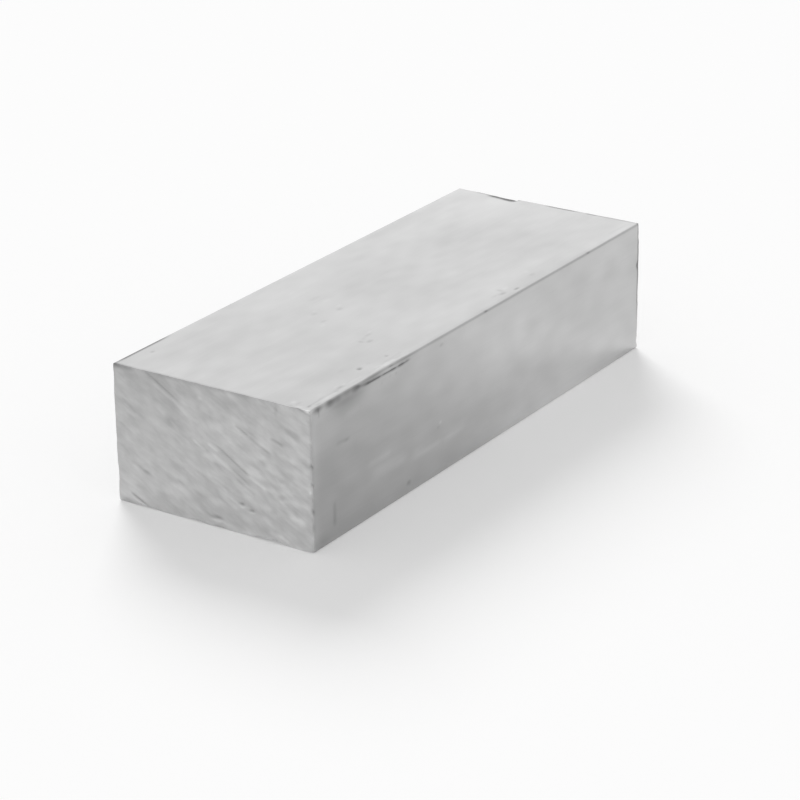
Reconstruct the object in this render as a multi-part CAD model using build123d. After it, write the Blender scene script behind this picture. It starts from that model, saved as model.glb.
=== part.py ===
"""A short sawn length of extruded aluminium flat bar, lying on its wide face.

Millimetres. +X runs along the bar, +Y across its width and +Z up.
The origin is at the middle of the underside.
"""
from build123d import *
import math
import os

# Section of the extruded bar, and the length it was sawn to
bar_width = 40.0
bar_thickness = 25.0
bar_length = 107.0

# Radius that the extrusion die leaves on the four long edges
edge_radius = 0.4

# Worn flat on one long top edge: how far its middle is from the sawn end, and its greatest reach
wear_from_end = 22.0
wear_length = 18.0
wear_on_side = 1.1
wear_on_top = 0.55

# Chip knocked out of the top edge of the other sawn end, deepening to a sharp step at its inner end
chip_from_side = 13.6
chip_length = 8.7
chip_depth = 0.5
chip_radius = 1.5

# Places that the features share
worn_end = -bar_length / 2
chipped_end = bar_length / 2
worn_side = -bar_width / 2
plain_side = bar_width / 2
top = bar_thickness


def extruded_bar():
    """The section with its rounded corners, drawn out over the bar's length."""
    section = Plane.YZ * Pos(0, bar_thickness / 2) * RectangleRounded(bar_width, bar_thickness, edge_radius)
    return extrude(section, amount=bar_length / 2, both=True)


def worn_flat():
    """A wide disc that grinds the flat off the rounded edge, straight across it and run out at both ends."""
    flat_width = math.hypot(wear_on_side, wear_on_top)
    missing = wear_on_side * wear_on_top - edge_radius * (wear_on_side + wear_on_top)
    depth = edge_radius + missing / flat_width
    disc_radius = wear_length**2 / (8 * depth) + depth / 2
    middle = Vector(worn_end + wear_from_end, worn_side + wear_on_top / 2, top - wear_on_side / 2)
    outward = Vector(0, -wear_on_side, wear_on_top)
    across = Plane(origin=middle, x_dir=Vector(1, 0, 0), z_dir=outward)
    return across * Pos(0, 0, disc_radius) * Rot(90, 0, 0) * Cylinder(disc_radius, 3 * flat_width)


def chip():
    """A round cutter, tilted into the edge so that it starts at nothing and ends at the chip's full depth."""
    outward = Vector(1, 0, 1).normalized()
    deep_end = Vector(chipped_end, plain_side - chip_from_side, top) + outward * (chip_radius - chip_depth)
    shallow_end = Vector(chipped_end, plain_side - chip_from_side + chip_length, top) + outward * chip_radius
    along = shallow_end - deep_end
    return extrude(Plane(origin=deep_end, z_dir=along) * Circle(chip_radius), amount=along.length)


def flat_bar():
    """The whole bar, one solid."""
    return extruded_bar() - worn_flat() - chip()


def main():
    """Writes the bar's one piece."""
    os.makedirs("parts", exist_ok=True)
    export_step(flat_bar(), "parts/flat_bar.step")


main()
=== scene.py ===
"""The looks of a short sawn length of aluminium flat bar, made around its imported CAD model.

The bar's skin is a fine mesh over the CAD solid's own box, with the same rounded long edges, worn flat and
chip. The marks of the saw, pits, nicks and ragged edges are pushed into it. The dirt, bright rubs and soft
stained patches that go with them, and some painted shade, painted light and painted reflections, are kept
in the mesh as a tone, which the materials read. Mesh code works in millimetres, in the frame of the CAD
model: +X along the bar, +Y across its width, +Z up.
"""
import math
from collections import namedtuple

import bmesh
import bpy
import numpy as np
from mathutils import Matrix, Vector


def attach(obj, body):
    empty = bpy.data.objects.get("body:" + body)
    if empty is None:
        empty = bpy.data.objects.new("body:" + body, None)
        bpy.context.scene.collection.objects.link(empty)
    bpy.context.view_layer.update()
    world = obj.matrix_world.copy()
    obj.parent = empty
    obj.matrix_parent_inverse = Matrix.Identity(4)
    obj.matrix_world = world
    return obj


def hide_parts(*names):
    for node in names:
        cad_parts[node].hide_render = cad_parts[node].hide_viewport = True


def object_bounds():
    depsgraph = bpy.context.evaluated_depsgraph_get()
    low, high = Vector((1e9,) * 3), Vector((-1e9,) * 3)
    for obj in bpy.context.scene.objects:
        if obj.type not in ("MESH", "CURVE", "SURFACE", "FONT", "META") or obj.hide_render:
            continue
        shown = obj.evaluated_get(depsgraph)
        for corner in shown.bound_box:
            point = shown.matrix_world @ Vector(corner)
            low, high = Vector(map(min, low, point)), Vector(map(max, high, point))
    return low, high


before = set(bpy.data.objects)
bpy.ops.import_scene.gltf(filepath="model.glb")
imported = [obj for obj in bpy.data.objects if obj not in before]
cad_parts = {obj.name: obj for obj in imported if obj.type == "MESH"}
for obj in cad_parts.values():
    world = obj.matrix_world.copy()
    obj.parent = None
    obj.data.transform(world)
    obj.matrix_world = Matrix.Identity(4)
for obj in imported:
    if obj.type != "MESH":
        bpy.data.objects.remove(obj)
cad_low, cad_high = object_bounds()

# Lengths are millimetres up to the finished mesh
millimetre = 0.001
length, width, thickness = (round(side / millimetre, 3) for side in cad_high - cad_low)
worn_end = -length / 2
chipped_end = length / 2
worn_side = -width / 2
plain_side = width / 2
top = thickness

# The CAD solid's own forms
edge_radius = 0.4
wear_from_end = 22.0
wear_length = 18.0
wear_on_side = 1.1
wear_on_top = 0.55
chip_from_side = 13.6
chip_length = 8.7
chip_depth = 0.5
chip_radius = 1.5

# Size of the mesh's squares, and how many parts their sides are cut into where there is more to show
plain_step = 0.92
fine_parts = 4

# How far from the worn end the top edge of the worn side is cut finely
worn_edge_reach = 2 * wear_from_end

# Closer than this to a plane counts as in it, and a fold of more than this, in radians, stays sharp
in_plane = 0.01
sharp_fold = 1.0

# Keeps a division from being one by zero
tiny = 1e-9

# How far below a face its marks still push the skin in, and how far round an edge its tone reaches
mark_reach = 3.0
tone_reach = 0.6

# Marks that overlap never darken the metal by more than this share
darkest_tone = -0.8

# The saw ran across the ends at this angle, down towards the worn side, and bit deeper towards that side
saw_heading = 29.0
bite_at_plain_side = 0.6
bite_at_worn_side = 1.35

# A line of a saw tooth or a scratch, and a round or oval dent, in millimetres over a face. Both also draw
# soft stains and painted shade and light. Depth is into the metal, and tone is how much brighter or darker
# the metal is there, as a share
Stroke = namedtuple("Stroke", "start end half_width depth tone")
Dent = namedtuple("Dent", "place reach depth tone")

# A stroke comes up from nothing, and goes back to it, over this share of its length
stroke_taper = 0.25

# A random mark is darker the deeper it is, and a raised one lighter: how much for each millimetre of depth
saw_mark_darkening = 2.2
pit_darkening = 1.5

# Random unevenness of a face: its usual wavelength in millimetres, and how many times it is drawn out along
# the saw marks or the bar
Ripple = namedtuple("Ripple", "wavelength stretch")
saw_blotches = Ripple(2.6, 2.3)
saw_lines = Ripple(1.2, 3.5)
die_swells = Ripple(16, 2.5)
mottling = Ripple(4.5, 2.4)
waves_in_ripples = 14

# How far these change a face's depth in millimetres, and its tone as a share
blotch_depth = 0.045
line_depth = 0.012
swell_depth = 0.012
blotch_tone = 0.045
line_tone = 0.026
side_mottling_tone = 0.032
wide_face_mottling_tone = 0.026

# On average the skin lies this many times its main ripples' depth behind the CAD solid's faces
saw_sink = 1.2
die_sink = 1.3

# A face of the bar: the axis it faces along and which way, its marks, its stains and painted light and
# shade, and its random seed
Face = namedtuple("Face", "axis outward marks stains seed")


def smooth_step(share):
    """0 up to 1 with a soft start and a soft end."""
    share = np.clip(share, 0, 1)
    return share * share * (3 - 2 * share)


def stroke_strength(places, stroke):
    """How strongly a stroke marks each place: 1 along its middle, 0 past its ends and sides."""
    start = np.array(stroke.start)
    run = np.array(stroke.end) - start
    reach = math.hypot(*run)
    forward = (places - start) @ run / reach**2
    aside = (places - start) @ np.array([-run[1], run[0]]) / reach
    taper = smooth_step(np.minimum(forward, 1 - forward) / stroke_taper)
    return taper * np.exp(-((aside / stroke.half_width) ** 2))


def dent_strength(places, dent):
    """How strongly a dent marks each place: 1 at its middle, 0 past its rim."""
    away = np.linalg.norm((places - np.array(dent.place)) / np.array(dent.reach), axis=1)
    return 1 - smooth_step(away)


def bite(across):
    """How much stronger or weaker the marks of the saw are than usual, so far across an end."""
    return bite_at_plain_side + (bite_at_worn_side - bite_at_plain_side) * across / width


def depth_and_tone(places, marks):
    """What a set of marks does together at each place."""
    depth = np.zeros(len(places))
    tone = np.zeros(len(places))
    for mark in marks:
        strength_of = stroke_strength if isinstance(mark, Stroke) else dent_strength
        strength = strength_of(places, mark)
        depth += mark.depth * strength
        tone += mark.tone * strength
    return depth, tone


def ripples(places, ripple, heading, seed):
    """A smooth random field from about -1 to 1, drawn out along a heading given in degrees."""
    random = np.random.default_rng(seed)
    turn = math.radians(heading)
    along = places @ np.array([math.cos(turn), math.sin(turn)]) / ripple.stretch
    across = places @ np.array([-math.sin(turn), math.cos(turn)])
    field = np.zeros(len(places))
    for _ in range(waves_in_ripples):
        angle, phase = random.uniform(0, 2 * math.pi, 2)
        fineness = random.uniform(0.6, 1.7)
        number = 2 * math.pi / ripple.wavelength * fineness
        field += np.cos(number * (along * math.cos(angle) + across * math.sin(angle)) + phase)
    return field / math.sqrt(2 * waves_in_ripples)


# Marks on the worn end, across from the plain side and down from the top. The lighter strokes along the
# lips of the saw marks are painted highlights
worn_end_marks = [
    Stroke((5.6, -0.5), (14.4, 4.7), 0.19, 0.11, -0.17),
    Stroke((7.0, 1.2), (15.4, 5.9), 0.36, -0.05, 0.13),
    Stroke((10.2, 3.6), (15.6, 9.9), 1.20, 0.03, -0.07),
    Stroke((4.0, 0.15), (34.0, 0.15), 0.30, 0.0, -0.10),
    Stroke((24.6, 5.7), (27.6, 7.2), 0.19, 0.12, -0.24),
    Stroke((24.0, 6.5), (26.2, 7.6), 0.26, -0.03, 0.12),
    Stroke((26.8, 7.0), (32.4, 9.8), 0.24, 0.07, -0.13),
    Stroke((31.6, 6.4), (34.6, 7.6), 0.26, 0.10, -0.19),
    Stroke((20.2, 9.8), (28.6, 15.1), 0.19, 0.12, -0.23),
    Stroke((22.8, 13.0), (28.6, 16.9), 0.22, 0.08, -0.15),
    Stroke((19.4, 11.4), (24.4, 14.6), 0.30, -0.04, 0.16),
    Stroke((18.9, 10.1), (21.6, 11.4), 0.24, -0.04, 0.20),
    Stroke((15.6, 10.0), (19.0, 11.8), 0.26, -0.04, 0.18),
    Stroke((26.4, 14.0), (31.4, 16.2), 0.26, -0.04, 0.18),
    Stroke((24.4, 15.2), (29.0, 17.8), 0.28, 0.06, -0.10),
    Stroke((1.2, 5.6), (4.8, 8.6), 0.28, 0.06, -0.10),
    Stroke((3.6, 7.4), (6.6, 9.2), 0.35, 0.04, -0.06),
    Stroke((2.2, 16.6), (7.9, 19.4), 0.30, 0.06, -0.11),
    Stroke((1.8, 16.2), (4.6, 18.4), 0.35, -0.03, 0.08),
    Dent((6.2, 18.5), (1.2, 0.7), 0.10, -0.14),
    Stroke((2.3, 22.9), (6.0, 25.1), 0.20, 0.16, -0.32),
    Stroke((3.4, 20.9), (7.4, 22.6), 0.45, 0.04, -0.08),
    Stroke((20.6, 18.6), (25.2, 21.2), 0.30, -0.04, 0.15),
    Stroke((21.0, 23.9), (29.5, 24.9), 0.35, -0.02, 0.12),
    Dent((25.7, 19.7), (1.0, 0.55), 0.18, -0.34),
    Dent((27.7, 20.4), (0.9, 0.5), 0.16, -0.30),
    Dent((20.5, 23.4), (1.7, 0.7), 0.22, -0.28),
    Dent((32.0, 19.7), (1.3, 0.9), 0.07, -0.15),
    Dent((34.0, 16.7), (1.3, 0.8), 0.08, -0.16),
    Dent((30.3, 11.4), (1.6, 1.1), 0.06, -0.12),
    Dent((34.3, 13.8), (1.5, 0.9), 0.05, -0.10),
    Dent((22.6, 5.3), (1.5, 1.1), 0.05, -0.12),
    Dent((33.1, 1.4), (0.6, 1.6), 0.08, -0.16),
    Stroke((33.0, 3.9), (38.0, 5.3), 0.55, 0.05, -0.13),
    Dent((17.8, 2.6), (0.9, 0.6), 0.0, 0.13),
    Stroke((35.2, 9.1), (39.6, 11.4), 0.55, -0.03, 0.17),
    Stroke((35.6, 12.7), (39.9, 14.0), 0.50, -0.03, 0.15),
    Stroke((34.8, 19.4), (39.2, 20.4), 0.50, -0.03, 0.13),
    Stroke((32.4, 23.3), (35.4, 24.5), 0.30, -0.03, 0.15),
    Dent((39.9, 9.8), (0.6, 0.7), 0.25, -0.28),
    Dent((40.0, 13.1), (0.6, 0.6), 0.20, -0.30),
    Dent((39.6, 14.3), (0.4, 0.4), 0.0, 0.22),
    Dent((40.0, 17.8), (0.6, 0.9), 0.22, -0.40),
    Dent((40.0, 20.6), (0.5, 1.2), 0.15, -0.25),
    Dent((0.2, 0.1), (2.2, 1.2), 0.10, -0.20),
    Stroke((-2.0, 0.40), (5.0, 0.20), 0.50, 0.02, -0.26),
    Stroke((36.6, -0.3), (40.2, 1.0), 0.18, 0.04, -0.22),
    Stroke((37.2, -0.5), (40.4, 0.5), 0.20, -0.03, 0.16),
]
# Duller and brighter patches on the worn end, all soft. Some are stains, and some painted shade and light:
# the band along the top darker, and the lower part lighter against the floor's shadow that it mirrors
worn_end_stains_and_painted_light = [
    Dent((7.0, 1.5), (13.0, 6.0), 0.0, -0.14),
    Dent((22.0, 2.5), (13.0, 5.0), 0.0, -0.07),
    # Painted shade: the band along the top darker
    Dent((19.0, 0.0), (28.0, 7.0), 0.0, -0.08),
    Dent((4.0, 11.0), (20.0, 14.0), 0.0, -0.08),
    # Painted light, this and the next: the lower part lighter, against the floor's shadow that it mirrors
    Dent((36.0, 22.0), (24.0, 16.0), 0.0, 0.17),
    Dent((14.0, 25.0), (22.0, 9.0), 0.0, 0.14),
    Dent((12.8, 8.0), (4.0, 4.4), 0.0, -0.09),
    Dent((6.0, 21.0), (6.0, 3.5), 0.0, -0.04),
    Dent((20.0, 6.8), (3.2, 2.0), 0.0, 0.07),
    Dent((31.4, 5.0), (3.4, 2.6), 0.0, 0.08),
    Dent((34.9, 15.4), (2.2, 1.1), 0.0, 0.13),
    Dent((36.2, 19.2), (2.2, 1.4), 0.0, 0.06),
    Dent((26.8, 18.2), (2.6, 1.6), 0.0, 0.10),
    Dent((12.6, 20.4), (4.4, 1.9), 0.0, 0.12),
    Dent((3.6, 13.0), (4.0, 3.0), 0.0, 0.07),
]

# Marks on the top and on the worn side, along from the worn end and across from the plain side or down
top_marks = [
    Dent((19.1, 36.4), (0.9, 0.65), 0.14, -0.42),
    Dent((26.2, 37.0), (0.7, 0.45), 0.08, -0.20),
    Dent((7.3, 2.7), (0.8, 0.5), 0.06, -0.18),
    Dent((30.3, 30.9), (1.3, 0.7), 0.04, -0.17),
    Dent((29.3, 29.8), (0.8, 0.9), 0.03, -0.14),
    Dent((32.5, 29.1), (1.8, 0.5), 0.03, -0.12),
    Dent((30.7, 29.4), (1.1, 0.6), 0.02, -0.09),
    Dent((33.8, 28.4), (1.2, 0.5), 0.0, 0.05),
    Dent((42.2, 11.2), (2.6, 0.9), 0.02, -0.08),
    Dent((42.8, 13.5), (1.7, 0.8), 0.0, 0.05),
    Dent((35.9, 15.6), (1.3, 0.8), 0.03, -0.10),
    Dent((37.2, 14.8), (1.0, 0.6), 0.0, 0.06),
    Dent((33.9, 18.9), (1.4, 0.7), 0.03, -0.09),
    Dent((32.4, 19.9), (1.1, 0.5), 0.0, 0.06),
    Dent((40.3, 17.9), (1.3, 0.8), 0.03, -0.12),
    Dent((41.7, 16.8), (1.3, 0.7), 0.0, 0.06),
    Dent((61.6, 37.9), (1.6, 0.7), 0.05, -0.24),
    Dent((62.6, 36.7), (0.8, 1.2), 0.03, -0.15),
    Dent((59.7, 37.4), (1.8, 0.5), 0.02, -0.10),
    Dent((64.1, 36.9), (1.1, 0.5), 0.0, 0.08),
    Dent((65.0, 38.7), (1.2, 0.45), 0.05, -0.42),
    Dent((72.6, 37.3), (1.3, 0.7), 0.02, -0.10),
    Dent((73.3, 35.7), (0.9, 0.8), 0.0, 0.05),
    Stroke((98.5, 38.0), (105.5, 38.4), 0.20, 0.0, -0.06),
    Stroke((96.0, 38.9), (106.0, 39.0), 0.16, 0.0, 0.05),
    Dent((18.9, 31.7), (1.8, 1.2), 0.0, -0.035),
    Dent((16.8, 34.4), (0.9, 0.7), 0.0, -0.045),
    Dent((22.0, 36.2), (1.0, 0.7), 0.0, -0.050),
    Dent((22.9, 38.4), (1.0, 0.4), 0.0, -0.060),
    Stroke((2.0, 38.5), (13.5, 38.5), 0.20, 0.03, -0.08),
    Dent((10.8, 38.2), (1.3, 0.32), 0.05, -0.18),
    Dent((9.1, 38.6), (1.1, 0.28), 0.03, -0.11),
    Dent((12.3, 38.0), (0.9, 0.28), 0.0, 0.12),
    Dent((10.7, 37.5), (0.9, 0.28), 0.0, 0.09),
    Dent((4.9, 39.2), (1.6, 0.35), 0.0, 0.08),
    Dent((6.5, 37.2), (1.2, 0.45), 0.0, 0.05),
    Stroke((19.0, 38.8), (27.5, 38.9), 0.18, 0.02, 0.10),
    Dent((2.0, 35.3), (0.9, 0.7), 0.03, 0.10),
    Dent((0.7, 37.3), (0.9, 0.9), 0.05, 0.16),
    Dent((0.2, 39.4), (0.7, 0.6), 0.05, 0.26),
    Dent((1.6, 38.6), (0.8, 0.45), 0.06, -0.24),
    Dent((1.7, 36.4), (1.3, 0.5), 0.03, -0.11),
    Dent((0.3, 35.8), (0.6, 1.0), 0.04, -0.12),
    Stroke((-1.0, 0.42), (16.0, 0.36), 0.34, 0.02, -0.75),
    Stroke((106.65, 6.6), (105.80, 14.2), 0.62, 0.06, -0.95),
    Dent((105.95, 12.2), (0.80, 2.0), 0.03, -0.60),
    Stroke((105.7, 12.9), (107.2, 14.1), 0.32, 0.03, -0.50),
    Stroke((106.85, 3.8), (106.75, 9.6), 0.30, 0.0, -0.30),
    Stroke((106.82, 19.0), (106.82, 27.8), 0.30, 0.02, -0.72),
    Stroke((106.82, 28.4), (106.82, 31.3), 0.30, 0.02, -0.45),
    Stroke((106.85, 29.6), (106.85, 39.8), 0.26, 0.0, -0.36),
]
top_stains_and_painted_light = [
    Dent((81.0, 16.0), (16.0, 9.0), 0.0, -0.045),
    Dent((84.0, 27.0), (12.0, 8.0), 0.0, -0.035),
    Dent((28.0, 5.2), (7.0, 3.0), 0.0, -0.040),
    Dent((52.0, 24.0), (14.0, 7.0), 0.0, -0.025),
    Dent((8.0, 34.0), (24.0, 12.0), 0.0, -0.050),
    # Painted light: the top lighter towards the chipped end
    Dent((98.0, 4.0), (50.0, 20.0), 0.0, 0.050),
    Dent((62.0, 34.0), (14.0, 5.0), 0.0, 0.025),
    Dent((8.0, 12.0), (16.0, 12.0), 0.0, 0.035),
    # Painted light, to the end of the list: the top lighter towards the chipped end and along the plain
    # side
    Dent((101.0, 18.0), (22.0, 26.0), 0.0, 0.060),
    Dent((100.0, 2.0), (44.0, 20.0), 0.0, 0.035),
    Dent((40.0, 0.0), (80.0, 13.0), 0.0, 0.035),
    Stroke((104.5, -20.0), (104.5, 60.0), 4.0, 0.0, 0.045),
]
worn_side_marks = [
    Dent((2.0, 0.45), (1.9, 1.00), 0.09, -0.40),
    Dent((5.5, 0.55), (2.0, 1.10), 0.11, -0.36),
    Dent((7.6, 0.50), (1.8, 0.95), 0.06, -0.20),
    Dent((10.4, 0.45), (2.0, 0.80), 0.05, -0.12),
    Dent((12.8, 0.55), (1.8, 0.95), 0.09, -0.31),
    Stroke((0.4, 0.30), (15.0, 0.34), 0.42, 0.02, -0.11),
    Stroke((12.6, 0.40), (17.6, 0.88), 0.34, 0.03, -0.26),
    Stroke((2.2, 0.2), (2.35, 2.0), 0.22, 0.03, -0.16),
    Stroke((14.4, 0.78), (29.0, 0.98), 0.19, 0.06, -0.62),
    Stroke((18.0, 0.45), (27.0, 0.50), 0.15, 0.0, 0.05),
    Dent((18.0, 0.45), (5.5, 0.85), 0.0, -0.24),
    Dent((26.0, 0.45), (6.0, 0.70), 0.0, -0.18),
    Dent((23.6, 0.12), (1.2, 0.2), 0.02, -0.24),
    Dent((23.7, 0.88), (1.0, 0.34), 0.03, -0.30),
    Dent((26.4, 0.84), (1.3, 0.34), 0.04, -0.38),
    Dent((28.0, 0.80), (1.3, 0.34), 0.03, -0.36),
    Dent((20.4, 0.86), (0.9, 0.30), 0.0, 0.24),
    Dent((25.0, 0.92), (0.7, 0.30), 0.0, 0.22),
    Dent((22.8, 1.7), (0.4, 0.25), 0.02, -0.12),
    Dent((24.6, 1.9), (0.5, 0.3), 0.03, -0.14),
    Dent((20.3, 2.2), (0.4, 0.25), 0.02, -0.10),
    # Painted reflection: a dark line along the rounded top edge, for the dark surround that it mirrors
    Stroke((-8.0, 0.08), (150.0, 0.08), 0.25, 0.0, -0.31),
    Dent((52.9, 0.05), (0.9, 0.3), 0.03, -0.25),
    Dent((88.1, 0.05), (1.0, 0.3), 0.02, -0.18),
    Stroke((6.4, 8.2), (11.4, 8.5), 0.38, 0.02, -0.09),
    Dent((9.8, 8.6), (1.2, 0.5), 0.02, -0.08),
    Stroke((6.1, 17.6), (6.1, 22.8), 0.46, 0.03, -0.15),
    Dent((38.0, 15.5), (0.7, 0.45), 0.03, 0.20),
    Dent((37.3, 16.2), (0.9, 0.4), 0.02, -0.10),
    Dent((28.0, 23.0), (1.1, 0.7), 0.10, -0.22),
    Dent((38.5, 1.6), (1.0, 0.45), 0.06, -0.14),
    Dent((106.5, 8.2), (0.7, 1.2), 0.18, -0.15),
    Stroke((106.8, -3.0), (106.8, 20.0), 0.28, 0.0, -0.54),
    Stroke((0.2, 0.0), (0.25, 26.0), 0.28, 0.02, -0.04),
]
worn_side_stains_and_painted_light = [
    # Painted shade: the side darker towards the worn end, in place of a dark reflection
    Dent((6.0, 9.0), (44.0, 26.0), 0.0, -0.19),
    Stroke((0.6, -4.0), (0.6, 30.0), 1.40, 0.0, 0.07),
    Stroke((3.5, 1.3), (17.0, 1.3), 1.00, 0.0, -0.12),
    Dent((10.0, 2.0), (8.0, 2.8), 0.0, -0.16),
    Dent((2.2, 24.0), (3.6, 2.2), 0.0, -0.14),
    Stroke((9.5, 3.9), (13.6, 4.2), 0.50, 0.0, 0.05),
    Stroke((13.0, 12.8), (40.0, 13.1), 0.60, 0.0, -0.06),
    Stroke((15.0, 15.5), (23.5, 15.2), 0.70, 0.0, 0.11),
    Stroke((15.5, 17.5), (29.0, 17.8), 0.70, 0.0, 0.14),
    Stroke((28.0, 18.3), (39.5, 19.5), 0.70, 0.0, 0.15),
    Stroke((38.0, 19.5), (47.0, 18.3), 0.70, 0.0, 0.10),
    Dent((20.0, 25.0), (46.0, 5.6), 0.0, -0.10),
    # Painted light: the lower part lighter towards the chipped end, against the floor's shadow that it
    # mirrors
    Dent((79.0, 25.0), (34.0, 12.0), 0.0, 0.30),
    Dent((58.0, 13.0), (26.0, 10.0), 0.0, 0.11),
    # Painted shade: the side a little darker at the chipped end, to tone down the light there
    Dent((100.0, 8.0), (30.0, 20.0), 0.0, -0.04),
]

# Where the saw broke out of the bottom edge of the worn end, seen over the underside
underside_marks = [
    Dent((0.0, 29.5), (1.6, 4.6), 0.34, 0.0),
    Dent((0.0, 6.2), (1.2, 3.0), 0.26, 0.0),
    Dent((0.0, 21.0), (0.9, 2.4), 0.16, -0.2),
]


def random_saw_marks(count, seed):
    """Short saw marks strewn over an end, all running nearly the same way."""
    random = np.random.default_rng(seed)
    marks = []
    for _ in range(count):
        across, down = random.uniform(-2, width), random.uniform(-2, thickness)
        heading = math.radians(random.normal(saw_heading, 3))
        reach = random.uniform(1.2, 6)
        end = (across + reach * math.cos(heading), down + reach * math.sin(heading))
        depth = random.uniform(-0.03, 0.04) * bite(across)
        half_width = random.uniform(0.18, 0.5)
        marks.append(Stroke((across, down), end, half_width, depth, -saw_mark_darkening * depth))
    return marks


def random_dents(count, across, seed):
    """Small pits and rubs strewn over a long face."""
    random = np.random.default_rng(seed)
    marks = []
    for _ in range(count):
        place = (random.uniform(2, length - 2), random.uniform(1, across - 1))
        reach = random.uniform(0.35, 0.9)
        depth = random.uniform(0.02, 0.12)
        drawn_out = random.uniform(1, 2)
        marks.append(Dent(place, (reach * drawn_out, reach), depth, -pit_darkening * depth))
    return marks


def edge_breaks(ends, count, across, seed):
    """Places where the saw broke the edge of the given ends, seen over one long face."""
    random = np.random.default_rng(seed)
    marks = []
    for _ in range(count):
        end = random.choice(ends)
        reach = (random.uniform(0.5, 1.1), random.uniform(0.8, 4))
        place = (end, random.uniform(0, across))
        depth = random.uniform(0.03, 0.22)
        tone = random.uniform(-0.15, 0.10)
        marks.append(Dent(place, reach, depth, tone))
    return marks


def edge_scuffs(count, seed):
    """Short light and dark scuffs on the top, in a narrow band beside the worn edge."""
    random = np.random.default_rng(seed)
    marks = []
    for _ in range(count):
        start = (random.uniform(0.5, 26), width - random.uniform(0.7, 1.9))
        end = (start[0] + random.uniform(1, 5), start[1] + random.uniform(-0.15, 0.25))
        depth = random.uniform(-0.01, 0.03)
        half_width = random.uniform(0.12, 0.24)
        tone = random.uniform(-0.12, 0.12)
        marks.append(Stroke(start, end, half_width, depth, tone))
    return marks


def deep_saw_marks(count, seed):
    """A few deeper tooth marks, each with a raised lip below it that is painted lighter, a painted
    highlight.
    """
    random = np.random.default_rng(seed)
    marks = []
    for _ in range(count):
        across, down = random.uniform(1, width - 10), random.uniform(0, thickness - 6)
        heading = math.radians(random.normal(saw_heading, 2))
        reach = random.uniform(3, 10)
        run = np.array([math.cos(heading), math.sin(heading)]) * reach
        start = np.array([across, down])
        lip = start + np.array([-0.3, 0.6])
        marks.append(Stroke(tuple(start), tuple(start + run), half_width=0.22, depth=0.12, tone=-0.22))
        # The raised lip is painted lighter: a painted highlight
        marks.append(Stroke(tuple(lip), tuple(lip + run), half_width=0.32, depth=-0.04, tone=0.13))
    return marks


# All the marks of each face
worn_end_marks += random_saw_marks(count=110, seed=11)
chipped_end_marks = deep_saw_marks(count=7, seed=21) + random_saw_marks(count=110, seed=23)
worn_side_marks += edge_breaks([length], count=5, across=thickness, seed=33)
plain_side_marks = random_dents(count=16, across=thickness, seed=41)
plain_side_marks += edge_breaks([0, length], count=12, across=thickness, seed=43)
underside_marks += random_dents(count=20, across=width, seed=51)
underside_marks += edge_breaks([0, length], count=12, across=width, seed=53)
top_marks += edge_scuffs(count=30, seed=63)

faces = [
    Face(axis=0, outward=-1, marks=worn_end_marks, stains=worn_end_stains_and_painted_light, seed=11),
    Face(axis=0, outward=1, marks=chipped_end_marks, stains=[], seed=23),
    Face(axis=1, outward=-1, marks=worn_side_marks, stains=worn_side_stains_and_painted_light, seed=31),
    Face(axis=1, outward=1, marks=plain_side_marks, stains=[], seed=41),
    Face(axis=2, outward=-1, marks=underside_marks, stains=[], seed=51),
    Face(axis=2, outward=1, marks=top_marks, stains=top_stains_and_painted_light, seed=61),
]


def over_face(places, face):
    """Where each place lies over a face, and how far below it."""
    x, y, z = places.T
    along, across, down = x - worn_end, plain_side - y, top - z
    flat = {0: (across, down), 1: (along, down), 2: (along, across)}[face.axis]
    low = (worn_end, worn_side, 0)[face.axis]
    high = (chipped_end, plain_side, top)[face.axis]
    below = high - places[:, face.axis] if face.outward > 0 else places[:, face.axis] - low
    return np.stack(flat, -1), below


def face_relief(flat, face):
    """How deep each place of a face lies behind its plane, and how bright or dark it is."""
    depth, tone = depth_and_tone(flat, face.marks + face.stains)
    if face.axis == 0:
        blotches = ripples(flat, saw_blotches, saw_heading, face.seed)
        lines = ripples(flat, saw_lines, saw_heading, face.seed + 1)
        depth = depth + blotch_depth * (saw_sink + blotches) + line_depth * lines
        tone = tone - (blotch_tone * blotches + line_tone * lines) * bite(flat[:, 0])
    else:
        swells = ripples(flat, die_swells, 0, face.seed)
        mottling_tone = side_mottling_tone if face.axis == 1 else wide_face_mottling_tone
        depth = depth + swell_depth * (die_sink + swells)
        tone = tone + mottling_tone * ripples(flat, mottling, 0, face.seed + 1)
    return np.maximum(depth, 0), tone


def marked(places):
    """Pushes each face's relief into the skin under it, less the deeper it lies, and sums up the tone."""
    out = places.copy()
    tone = np.zeros(len(places))
    for face in faces:
        flat, below = over_face(places, face)
        near = below < mark_reach
        depth, shade = face_relief(flat[near], face)
        share = 1 - below[near] / mark_reach
        out[near, face.axis] -= face.outward * depth * share**2
        tone[near] += shade * (1 - smooth_step(below[near] / tone_reach))
    return out, np.maximum(tone, darkest_tone)


def spaced(low, high):
    """Places of the mesh's lines from one side to the other, closer over the rounded edges."""
    edge = np.array([0, edge_radius / 2, edge_radius])
    inner = np.linspace(low + edge_radius, high - edge_radius, round((high - low) / plain_step))
    return np.concatenate([low + edge[:-1], inner, high - edge[1::-1]])


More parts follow.
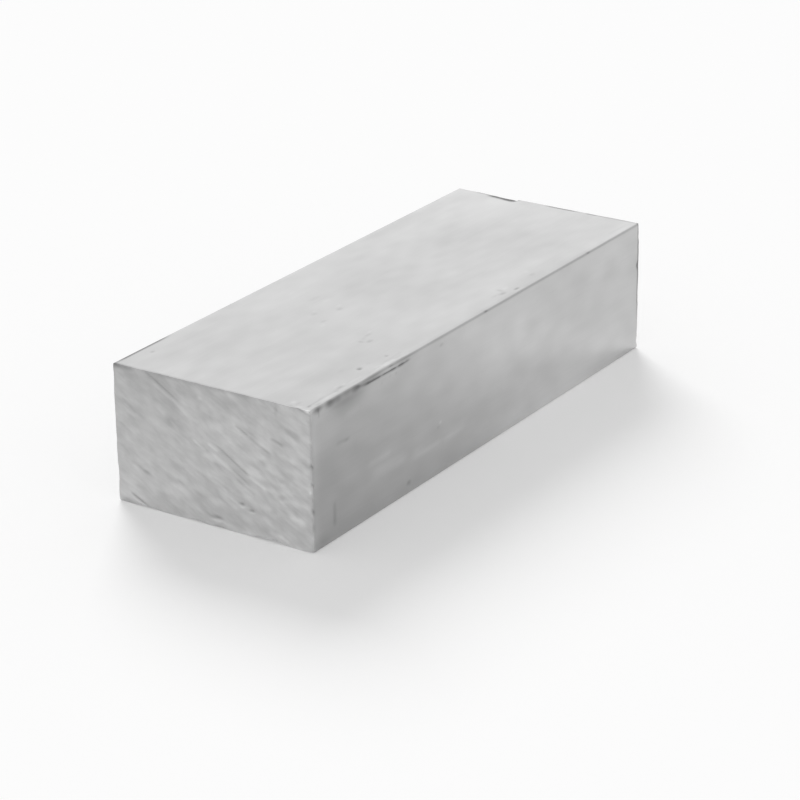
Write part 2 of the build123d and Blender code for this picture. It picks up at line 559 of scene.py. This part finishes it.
def box_surface(xs, ys, zs):
    """Vertices and quads over a box, with lines at the given places."""
    inside = np.zeros((len(xs), len(ys), len(zs)), bool)
    inside[1:-1, 1:-1, 1:-1] = True
    number = np.full(inside.shape, -1)
    number[~inside] = np.arange((~inside).sum())
    grid = np.stack(np.meshgrid(xs, ys, zs, indexing="ij"), -1)
    quads = []
    for axis in range(3):
        for side in (0, -1):
            sheet = np.take(number, side, axis=axis)
            quad = np.stack([sheet[:-1, :-1], sheet[1:, :-1], sheet[1:, 1:], sheet[:-1, 1:]], -1)
            # The sheets across Y are wound the other way round
            outward = (side == -1) != (axis == 1)
            quads.append(quad.reshape(-1, 4) if outward else quad.reshape(-1, 4)[:, ::-1])
    return grid[~inside], np.concatenate(quads)


def near_marks(middles):
    """Which of the squares with these middles lie on a long face and under one of its marks."""
    wanted = np.zeros(len(middles), bool)
    for face in faces:
        if face.axis == 0:
            continue
        flat, below = over_face(middles, face)
        on_face = below < edge_radius
        for mark in face.marks:
            if isinstance(mark, Stroke):
                points = np.array([mark.start, mark.end])
                spare = 2 * mark.half_width + plain_step / 2
            else:
                points = np.array([mark.place]) + np.array([[-1], [1]]) * np.array(mark.reach)
                spare = plain_step / 2
            inside = (flat > points.min(axis=0) - spare) & (flat < points.max(axis=0) + spare)
            wanted |= on_face & inside.all(axis=1)
    return wanted


def worth_cutting(middles):
    """Which squares have more to show: on and next to the ends, along the worn edge, and under marks."""
    at_an_end = np.abs(middles[:, 0]) > length / 2 - plain_step
    at_the_edge = (middles[:, 1] < worn_side + edge_radius) & (middles[:, 2] > top - edge_radius)
    worn = middles[:, 0] - worn_end < worn_edge_reach
    return at_an_end | (at_the_edge & worn) | near_marks(middles)


def refine(mesh):
    """Cuts the squares that have more to show into smaller ones, all in one pass."""
    mesh.faces.ensure_lookup_table()
    middles = np.array([face.calc_center_median() for face in mesh.faces])
    edges = {edge for number in np.flatnonzero(worth_cutting(middles)) for edge in mesh.faces[number].edges}
    bmesh.ops.subdivide_edges(mesh, edges=list(edges), cuts=fine_parts - 1, use_grid_fill=True)


def rounded(places):
    """Squeezes the square corners of the bar's section onto its rounded long edges."""
    out = places.copy()
    middle = np.array([0, thickness / 2])
    half = np.array([width / 2, thickness / 2]) - edge_radius
    section = places[:, 1:] - middle
    beyond = np.abs(section) - half
    corner = (beyond > 0).all(axis=1)
    outward, upward = beyond[corner].T
    radius = np.maximum(outward, upward)
    near_side = math.pi / 4 * upward / np.maximum(outward, tiny)
    near_top = math.pi / 2 - math.pi / 4 * outward / np.maximum(upward, tiny)
    angle = np.where(outward > upward, near_side, near_top)
    arc = np.stack([np.cos(angle), np.sin(angle)], -1) * radius[:, None]
    out[corner, 1:] = middle + np.sign(section[corner]) * (half + arc)
    return out


def out_of_cylinder(places, centre, axis, radius, reach):
    """Brings what lies inside a round cutter, up to its reach along its axis, out onto its surface."""
    forward = (places - centre) @ axis
    aside = places - centre - forward[:, None] * axis
    distance = np.linalg.norm(aside, axis=1)
    cut = (distance < radius) & (forward > -reach[0]) & (forward < reach[1])
    out = places.copy()
    out[cut] += aside[cut] * (radius / distance[cut] - 1)[:, None]
    return out


def worn_flat(places):
    """Grinds the worn flat off the rounded edge, as the CAD solid has it."""
    flat_width = math.hypot(wear_on_side, wear_on_top)
    missing = wear_on_side * wear_on_top - edge_radius * (wear_on_side + wear_on_top)
    depth = edge_radius + missing / flat_width
    disc_radius = wear_length**2 / (8 * depth) + depth / 2
    middle = np.array([worn_end + wear_from_end, worn_side + wear_on_top / 2, top - wear_on_side / 2])
    outward = np.array([0, -wear_on_side, wear_on_top]) / flat_width
    across = np.cross(outward, [1, 0, 0])
    centre = middle + outward * disc_radius
    reach = 2 * flat_width
    return out_of_cylinder(places, centre, across, disc_radius, (reach, reach))


def chipped(places):
    """Cuts the chip into the top edge of the chipped end, as the CAD solid has it."""
    outward = np.array([1, 0, 1]) / math.sqrt(2)
    step = np.array([chipped_end, plain_side - chip_from_side, top])
    deep_end = step + outward * (chip_radius - chip_depth)
    shallow_end = step + np.array([0, chip_length, 0]) + outward * chip_radius
    run = shallow_end - deep_end
    reach = np.linalg.norm(run)
    return out_of_cylinder(places, deep_end, run / reach, chip_radius, (0, reach))


def bar_mesh():
    """The bar's skin as one closed mesh."""
    stations = np.linspace(worn_end, chipped_end, round(length / plain_step) + 1)
    places, quads = box_surface(stations, spaced(worn_side, plain_side), spaced(0, top))
    sheet = bpy.data.meshes.new("flat_bar_skin")
    sheet.from_pydata(places.tolist(), [], quads.tolist())
    skin = bmesh.new()
    skin.from_mesh(sheet)
    refine(skin)
    for edge in skin.edges:
        on_end = all(abs(abs(corner.co.x) - length / 2) < in_plane for corner in edge.verts)
        edge.smooth = not (on_end and edge.calc_face_angle() > sharp_fold)
    # The drawn faces have the first material, and the sawn ends, which face along X, the second
    for face in skin.faces:
        face.smooth = True
        face.material_index = round(abs(face.normal.x))
    skin.to_mesh(sheet)
    skin.free()
    places = np.empty(len(sheet.vertices) * 3)
    sheet.vertices.foreach_get("co", places)
    places, tone = marked(places.reshape(-1, 3))
    places = chipped(worn_flat(rounded(places)))
    sheet.vertices.foreach_set("co", (places * millimetre).ravel())
    sheet.attributes.new("tone", "FLOAT", "POINT").data.foreach_set("value", tone)
    sheet.update()
    return sheet


# How much of the light the clean metal reflects
clean_metal = 0.54

# Nearly all of a noise lies between the first two, and only the few spots past the others are scratches
noise_low = 0.3
noise_high = 0.7
scratch_begins = 0.66
scratch_full = 0.72


def new_material(name):
    """A new node material and its tree, which holds a Principled BSDF and the output."""
    material = bpy.data.materials.new(name)
    material.use_nodes = True
    return material, material.node_tree


def calculated(tree, operation, *numbers):
    """The result of one Math node on numbers or other nodes' outputs."""
    node = tree.nodes.new("ShaderNodeMath")
    node.operation = operation
    for socket, number in zip(node.inputs, numbers):
        if isinstance(number, (int, float)):
            socket.default_value = number
        else:
            tree.links.new(number, socket)
    return node.outputs["Value"]


def grain(tree, grain_size, turn=0.0, detail=2.0):
    """Noise from 0 to 1 over the bar, whose grains have the given size in millimetres along X, Y and Z."""
    place = tree.nodes.new("ShaderNodeTexCoord")
    mapping = tree.nodes.new("ShaderNodeMapping")
    mapping.vector_type = "TEXTURE"
    mapping.inputs["Rotation"].default_value = (math.radians(turn), 0, 0)
    mapping.inputs["Scale"].default_value = [size * millimetre for size in grain_size]
    tree.links.new(place.outputs["Object"], mapping.inputs["Vector"])
    noise = tree.nodes.new("ShaderNodeTexNoise")
    noise.inputs["Scale"].default_value = 1.0
    noise.inputs["Detail"].default_value = detail
    tree.links.new(mapping.outputs["Vector"], noise.inputs["Vector"])
    return noise.outputs["Fac"]


def ranged(tree, number, from_low, from_high, to_low, to_high):
    """A number brought from one range to another, and kept within it."""
    node = tree.nodes.new("ShaderNodeMapRange")
    limits = {"From Min": from_low, "From Max": from_high, "To Min": to_low, "To Max": to_high}
    for name, limit in limits.items():
        node.inputs[name].default_value = limit
    tree.links.new(number, node.inputs["Value"])
    return node.outputs["Result"]


def varied(tree, low, high, grain_size, turn=0.0, detail=2.0):
    """A number that drifts between two limits over the bar, in grains of the given size."""
    return ranged(tree, grain(tree, grain_size, turn, detail), noise_low, noise_high, low, high)


def with_tone(tree, brightness):
    """A brightness made lighter or darker by the tone kept in the mesh."""
    attribute = tree.nodes.new("ShaderNodeAttribute")
    attribute.attribute_name = "tone"
    return calculated(tree, "MULTIPLY", brightness, calculated(tree, "ADD", attribute.outputs["Fac"], 1.0))


def bumped(tree, height, distance):
    """A normal tilted by a height from 0 to 1, over a distance given in millimetres."""
    bump = tree.nodes.new("ShaderNodeBump")
    bump.inputs["Strength"].default_value = 1.0
    bump.inputs["Distance"].default_value = distance * millimetre
    tree.links.new(height, bump.inputs["Height"])
    return bump.outputs["Normal"]


def bare_metal(tree, shades, roughness, normal):
    """Sets up a metal as bright as the clean metal times each of its shades and the mesh's tone."""
    shader = tree.nodes["Principled BSDF"]
    shader.inputs["Metallic"].default_value = 1.0
    brightness = shades[0]
    for shade in shades[1:] + [clean_metal]:
        brightness = calculated(tree, "MULTIPLY", brightness, shade)
    tree.links.new(with_tone(tree, brightness), shader.inputs["Base Color"])
    tree.links.new(roughness, shader.inputs["Roughness"])
    tree.links.new(normal, shader.inputs["Normal"])


def mill_finish():
    """The extruded faces: satin aluminium, mottled, with faint die lines and fine scratches along them."""
    material, tree = new_material("mill_finish")
    clouds = varied(tree, 0.955, 1.045, (26, 12, 12), detail=3.0)
    patches = varied(tree, 0.98, 1.02, (6, 4, 4), detail=3.0)
    die_lines = varied(tree, 0.99, 1.01, (60, 0.5, 0.5))
    scratches = ranged(tree, grain(tree, (9, 0.22, 0.22)), scratch_begins, scratch_full, 1.0, 0.96)
    roughness = varied(tree, 0.30, 0.38, (14, 7, 7), detail=4.0)
    normal = bumped(tree, grain(tree, (30, 0.35, 0.35), detail=3.0), 0.004)
    bare_metal(tree, [clouds, patches, die_lines, scratches], roughness, normal)
    return material


def sawn_finish():
    """The sawn ends: rougher aluminium, with fine tooth lines at the angle of the saw."""
    material, tree = new_material("sawn_finish")
    smears = varied(tree, 0.94, 1.06, (8, 3.4, 2.0), saw_heading, detail=3.0)
    lines = varied(tree, 0.97, 1.03, (8, 1.6, 0.4), saw_heading)
    roughness = varied(tree, 0.42, 0.54, (8, 3, 1.2), saw_heading)
    normal = bumped(tree, grain(tree, (8, 1.5, 0.35), saw_heading, detail=3.0), 0.015)
    bare_metal(tree, [smears, lines], roughness, normal)
    return material


def direction(azimuth, elevation):
    """The way towards something far off. Angles in degrees, from +X towards +Y and up from the floor."""
    turn, rise = math.radians(azimuth), math.radians(elevation)
    return Vector((math.cos(rise) * math.cos(turn), math.cos(rise) * math.sin(turn), math.sin(rise)))


def sky_patch(tree, azimuth, elevation, spread, strength):
    """A soft round patch of the surround about one direction, all in degrees but its strength."""
    nodes, links = tree.nodes, tree.links
    place = nodes.new("ShaderNodeTexCoord")
    towards = nodes.new("ShaderNodeVectorMath")
    towards.operation = "DOT_PRODUCT"
    towards.inputs[1].default_value = direction(azimuth, elevation)
    links.new(place.outputs["Generated"], towards.inputs[0])
    patch = nodes.new("ShaderNodeMapRange")
    patch.interpolation_type = "SMOOTHSTEP"
    patch.inputs["From Min"].default_value = math.cos(math.radians(spread))
    patch.inputs["From Max"].default_value = 1.0
    patch.inputs["To Max"].default_value = strength
    links.new(towards.outputs["Value"], patch.inputs["Value"])
    return patch.outputs["Result"]


def seen_directly(tree):
    """1 for what the camera sees, straight or in the metal, and 0 for what only lights other things."""
    path = tree.nodes.new("ShaderNodeLightPath")
    seen = path.outputs["Is Camera Ray"]
    for ray in ("Is Glossy Ray", "Is Transmission Ray"):
        seen = calculated(tree, "ADD", seen, path.outputs[ray])
    return seen


def surround():
    """The studio: white to the camera and the metal, a little brighter low down, behind and right."""
    diffuse_level = 0.62
    world = bpy.data.worlds.new("studio")
    bpy.context.scene.world = world
    world.use_nodes = True
    tree = world.node_tree
    light = calculated(tree, "MULTIPLY", seen_directly(tree), 1 - diffuse_level)
    light = calculated(tree, "ADD", light, diffuse_level)
    behind = sky_patch(tree, azimuth=29, elevation=7, spread=37, strength=0.22)
    to_the_right = sky_patch(tree, azimuth=-38, elevation=5, spread=30, strength=0.05)
    light = calculated(tree, "ADD", light, behind)
    light = calculated(tree, "ADD", light, to_the_right)
    tree.links.new(light, tree.nodes["Background"].inputs["Strength"])
    tree.nodes["Background"].inputs["Color"].default_value = (1, 1, 1, 1)


def pale_floor():
    """A white floor that glows a little to the camera and the metal, so that the shadow stays soft."""
    reach = 4.0
    glow_share = 0.20
    corners = [(-reach, -reach, 0), (reach, -reach, 0), (reach, reach, 0), (-reach, reach, 0)]
    sheet = bpy.data.meshes.new("floor")
    sheet.from_pydata(corners, [], [(0, 1, 2, 3)])
    floor = bpy.data.objects.new("floor", sheet)
    bpy.context.scene.collection.objects.link(floor)
    paint, tree = new_material("floor_paint")
    nodes, links = tree.nodes, tree.links
    nodes.remove(nodes["Principled BSDF"])
    lit = nodes.new("ShaderNodeBsdfDiffuse")
    lit.inputs["Color"].default_value = (1, 1, 1, 1)
    glow = nodes.new("ShaderNodeEmission")
    mix = nodes.new("ShaderNodeMixShader")
    links.new(calculated(tree, "MULTIPLY", seen_directly(tree), glow_share), mix.inputs["Fac"])
    links.new(lit.outputs["BSDF"], mix.inputs[1])
    links.new(glow.outputs["Emission"], mix.inputs[2])
    links.new(mix.outputs["Shader"], nodes["Material Output"].inputs["Surface"])
    sheet.materials.append(paint)


def key_lamp():
    """A soft lamp far behind the bar, which gives the floor its share of light and lays the shadow there.

    The metal doesn't mirror it. Angles in degrees.
    """
    azimuth, elevation = 45, 32
    softness = 28
    floor_share = 0.34
    lamp = bpy.data.lights.new("key_lamp", "SUN")
    lamp.angle = math.radians(softness)
    lamp.energy = floor_share * math.pi / math.sin(math.radians(elevation))
    stand = bpy.data.objects.new("key_lamp", lamp)
    stand.rotation_euler = direction(azimuth, elevation).to_track_quat("Z", "Y").to_euler()
    stand.visible_glossy = False
    bpy.context.scene.collection.objects.link(stand)


def photo_camera():
    """The camera where the photograph was taken from, found by fitting the bar's edges."""
    place = Vector((-400.26, -267.97, 203.19)) * millimetre
    heading, pitch, roll = (math.radians(angle) for angle in (33.660, 22.490, 0.743))
    right_angle = math.radians(90)
    camera = bpy.data.objects.new("photo_camera", bpy.data.cameras.new("photo_camera"))
    camera.data.sensor_width = 36.0
    camera.data.lens = 131.21
    camera.data.clip_start = 0.01
    turn = Matrix.Rotation(heading - right_angle, 4, "Z") @ Matrix.Rotation(right_angle - pitch, 4, "X")
    camera.matrix_world = Matrix.Translation(place) @ turn @ Matrix.Rotation(-roll, 4, "Z")
    bpy.context.scene.collection.objects.link(camera)
    bpy.context.scene.camera = camera


photo_camera()
surround()
pale_floor()
key_lamp()
bar = bpy.data.objects.new("flat_bar_skin", bar_mesh())
bpy.context.scene.collection.objects.link(bar)
for finish in (mill_finish(), sawn_finish()):
    bar.data.materials.append(finish)
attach(bar, "root")
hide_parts("flat_bar")

bpy.context.scene.view_settings.view_transform = "Standard"
